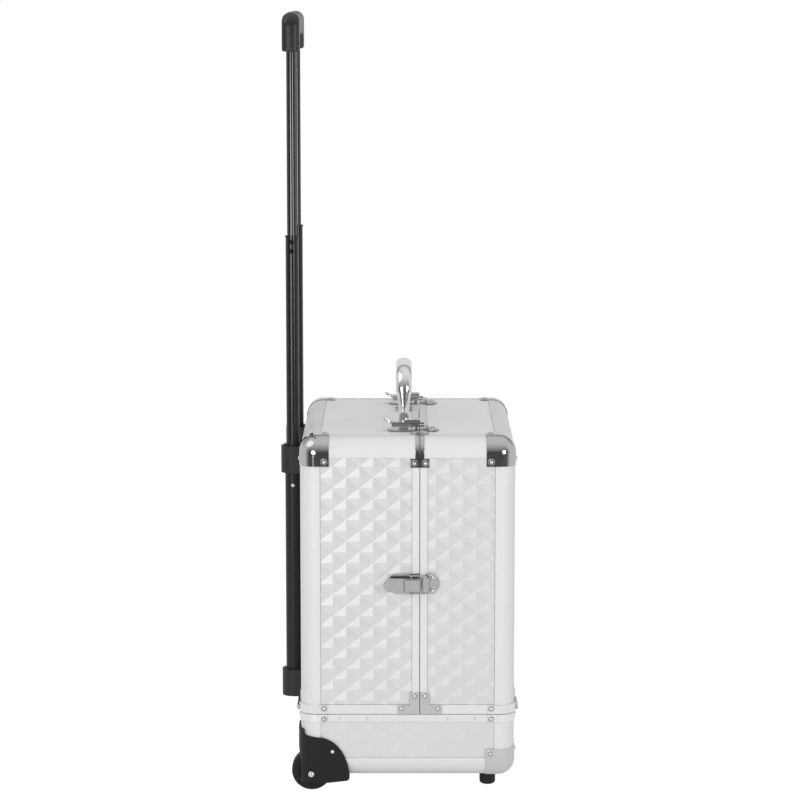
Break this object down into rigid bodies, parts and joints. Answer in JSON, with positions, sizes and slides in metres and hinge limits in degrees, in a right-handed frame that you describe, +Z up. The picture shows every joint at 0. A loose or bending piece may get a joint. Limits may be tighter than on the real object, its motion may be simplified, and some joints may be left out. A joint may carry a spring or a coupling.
{
  "type": "rolling makeup case",
  "caption": "Upright hard makeup trolley whose body splits into two hinged halves over a base box, with level trays, draw latches, a carry handle and a telescopic handle.",
  "frame": {"origin": "on the floor under the middle of the whole outline", "axes": "+Z up, +X along the wheel axle, front of the case faces -Y, trolley handle at +Y"},
  "size_m": [0.3796, 0.2986, 0.966],
  "materials": {
    "board": "plain board",
    "silver_skin": "silver, embossed with diamonds",
    "satin_rail": "satin anodised",
    "satin_corner": "satin grey",
    "bright_corner": "bright plated",
    "rivet": "satin",
    "lining": "black lining",
    "black_plastic": "moulded, fine grain",
    "steel": "zinc plated",
    "foot_rubber": "matte",
    "tyre": "matte",
    "hub": "moulded",
    "latch_metal": "nickel plated",
    "handle_chrome": "polished",
    "black_tube": "gloss black",
    "button": "moulded",
    "tray": "moulded, fine grain"
  },
  "bodies": {
    "base": {"base_boards": "board", "base_skins": "silver_skin", "base_edge_rails": "satin_rail", "base_top_rails": "satin_rail", "base_corner_hardware": "satin_corner", "base_rivets": "rivet", "base_lining": "lining", "wheel_housings": "black_plastic", "wheel_axles": "steel", "rubber_feet": "foot_rubber", "base_hinge_leaves": "steel", "tray_arm_lugs": "steel"},
    "rear_half": {"rear_boards": "board", "rear_skins": "silver_skin", "rear_edge_rails": "satin_rail", "rear_trim_rails": "satin_rail", "rear_corner_hardware": "bright_corner", "rear_rivets": "rivet", "rear_lining": "lining", "rear_hinge_leaves": "steel", "rear_tray_pivots": "steel", "latch_base_plates": "latch_metal", "carry_handle_mounts": "handle_chrome", "trolley_brackets": "black_plastic", "outer_tubes": "black_tube"},
    "front_half": {"front_boards": "board", "front_skins": "silver_skin", "front_edge_rails": "satin_rail", "front_trim_rails": "satin_rail", "front_corner_hardware": "bright_corner", "front_rivets": "rivet", "front_lining": "lining", "front_hinge_leaves": "steel", "front_tray_pivots": "steel", "latch_keepers": "latch_metal"},
    "left_wheel": {"left_tyre": "tyre", "left_hub": "hub"},
    "right_wheel": {"right_tyre": "tyre", "right_hub": "hub"},
    "carry_handle": {"carry_handle": "handle_chrome"},
    "middle_stage": {"middle_tubes": "black_tube"},
    "inner_stage": {"inner_tubes": "black_tube", "trolley_grip": "black_plastic"},
    "release_button": {"release_button": "button"},
    "rear_lower_tray": {"rear_lower_tray": "tray"},
    "rear_upper_tray": {"rear_upper_tray": "tray"},
    "front_lower_tray": {"front_lower_tray": "tray"},
    "front_upper_tray": {"front_upper_tray": "tray"},
    "rear_arms": {"rear_tray_arms": "steel"},
    "front_arms": {"front_tray_arms": "steel"},
    "left_top_lever": {"left_top_lever": "latch_metal"},
    "left_top_hook": {"left_top_hook": "latch_metal"},
    "right_top_lever": {"right_top_lever": "latch_metal"},
    "right_top_hook": {"right_top_hook": "latch_metal"},
    "left_side_lever": {"left_side_lever": "latch_metal"},
    "left_side_hook": {"left_side_hook": "latch_metal"},
    "right_side_lever": {"right_side_lever": "latch_metal"},
    "right_side_hook": {"right_side_hook": "latch_metal"}
  },
  "joints": [
    {"name": "rear_half_hinge", "type": "hinge", "parent": "base", "child": "rear_half", "pos_m": [0, 0.12605, 0.1015], "axis": [-1, 0, 0], "range_deg": [0, 90]},
    {"name": "rear_arms_pivot", "type": "hinge", "parent": "base", "child": "rear_arms", "pos_m": [0, 0.07405, 0.1105], "axis": [-1, 0, 0], "range_deg": [0, 90]},
    {"name": "rear_lower_tray_pivot", "type": "hinge", "parent": "rear_half", "child": "rear_lower_tray", "pos_m": [0, 0.08705, 0.1315], "axis": [-1, 0, 0], "range_deg": [-90, 0]},
    {"name": "rear_upper_tray_pivot", "type": "hinge", "parent": "rear_half", "child": "rear_upper_tray", "pos_m": [0, 0.08705, 0.2915], "axis": [-1, 0, 0], "range_deg": [-90, 0]},
    {"name": "front_half_hinge", "type": "hinge", "parent": "base", "child": "front_half", "pos_m": [0, -0.14635, 0.1015], "axis": [1, 0, 0], "range_deg": [0, 90]},
    {"name": "front_arms_pivot", "type": "hinge", "parent": "base", "child": "front_arms", "pos_m": [0, -0.09435, 0.1105], "axis": [1, 0, 0], "range_deg": [0, 90]},
    {"name": "front_lower_tray_pivot", "type": "hinge", "parent": "front_half", "child": "front_lower_tray", "pos_m": [0, -0.10735, 0.1315], "axis": [1, 0, 0], "range_deg": [-90, 0]},
    {"name": "front_upper_tray_pivot", "type": "hinge", "parent": "front_half", "child": "front_upper_tray", "pos_m": [0, -0.10735, 0.2915], "axis": [1, 0, 0], "range_deg": [-90, 0]},
    {"name": "left_wheel_spin", "type": "hinge", "parent": "base", "child": "left_wheel", "pos_m": [-0.15, 0.10985, 0.025], "axis": [1, 0, 0], "continuous": true},
    {"name": "right_wheel_spin", "type": "hinge", "parent": "base", "child": "right_wheel", "pos_m": [0.15, 0.10985, 0.025], "axis": [1, 0, 0], "continuous": true},
    {"name": "carry_handle_fold", "type": "hinge", "parent": "rear_half", "child": "carry_handle", "pos_m": [0, -0.00555, 0.4585], "axis": [-1, 0, 0], "range_deg": [0, 80]},
    {"name": "middle_stage_slide", "type": "slide", "parent": "rear_half", "child": "middle_stage", "axis": [0, 0, 1], "range_m": [-0.255, 0]},
    {"name": "inner_stage_slide", "type": "slide", "parent": "middle_stage", "child": "inner_stage", "axis": [0, 0, 1], "range_m": [-0.226, 0]},
    {"name": "release_button_press", "type": "slide", "parent": "inner_stage", "child": "release_button", "axis": [0, 0, 1], "range_m": [-0.003, 0], "stiffness_N_per_m": 400, "springref_m": 0.002},
    {"name": "left_top_lever_pivot", "type": "hinge", "parent": "rear_half", "child": "left_top_lever", "pos_m": [-0.112, -0.02165, 0.457], "axis": [1, 0, 0], "range_deg": [0, 100]},
    {"name": "left_top_hook_pivot", "type": "hinge", "parent": "left_top_lever", "child": "left_top_hook", "pos_m": [-0.112, -0.01465, 0.4565], "axis": [1, 0, 0], "range_deg": [-100, 0]},
    {"name": "right_top_lever_pivot", "type": "hinge", "parent": "rear_half", "child": "right_top_lever", "pos_m": [0.112, -0.02165, 0.457], "axis": [1, 0, 0], "range_deg": [0, 100]},
    {"name": "right_top_hook_pivot", "type": "hinge", "parent": "right_top_lever", "child": "right_top_hook", "pos_m": [0.112, -0.01465, 0.4565], "axis": [1, 0, 0], "range_deg": [-100, 0]},
    {"name": "left_side_lever_pivot", "type": "hinge", "parent": "rear_half", "child": "left_side_lever", "pos_m": [-0.182, -0.02165, 0.2675], "axis": [0, 0, 1], "range_deg": [0, 100]},
    {"name": "left_side_hook_pivot", "type": "hinge", "parent": "left_side_lever", "child": "left_side_hook", "pos_m": [-0.1815, -0.01465, 0.2675], "axis": [0, 0, 1], "range_deg": [-100, 0]},
    {"name": "right_side_lever_pivot", "type": "hinge", "parent": "rear_half", "child": "right_side_lever", "pos_m": [0.182, -0.02165, 0.2675], "axis": [0, 0, -1], "range_deg": [0, 100]},
    {"name": "right_side_hook_pivot", "type": "hinge", "parent": "right_side_lever", "child": "right_side_hook", "pos_m": [0.1815, -0.01465, 0.2675], "axis": [0, 0, -1], "range_deg": [-100, 0]}
  ],
  "couplings": [
    {"joint": "rear_arms_pivot", "follows": "rear_half_hinge", "ratio": 1},
    {"joint": "rear_lower_tray_pivot", "follows": "rear_half_hinge", "ratio": -1},
    {"joint": "rear_upper_tray_pivot", "follows": "rear_half_hinge", "ratio": -1},
    {"joint": "front_arms_pivot", "follows": "front_half_hinge", "ratio": 1},
    {"joint": "front_lower_tray_pivot", "follows": "front_half_hinge", "ratio": -1},
    {"joint": "front_upper_tray_pivot", "follows": "front_half_hinge", "ratio": -1},
    {"joint": "left_top_hook_pivot", "follows": "left_top_lever_pivot", "ratio": -1},
    {"joint": "right_top_hook_pivot", "follows": "right_top_lever_pivot", "ratio": -1},
    {"joint": "left_side_hook_pivot", "follows": "left_side_lever_pivot", "ratio": -1},
    {"joint": "right_side_hook_pivot", "follows": "right_side_lever_pivot", "ratio": -1}
  ]
}
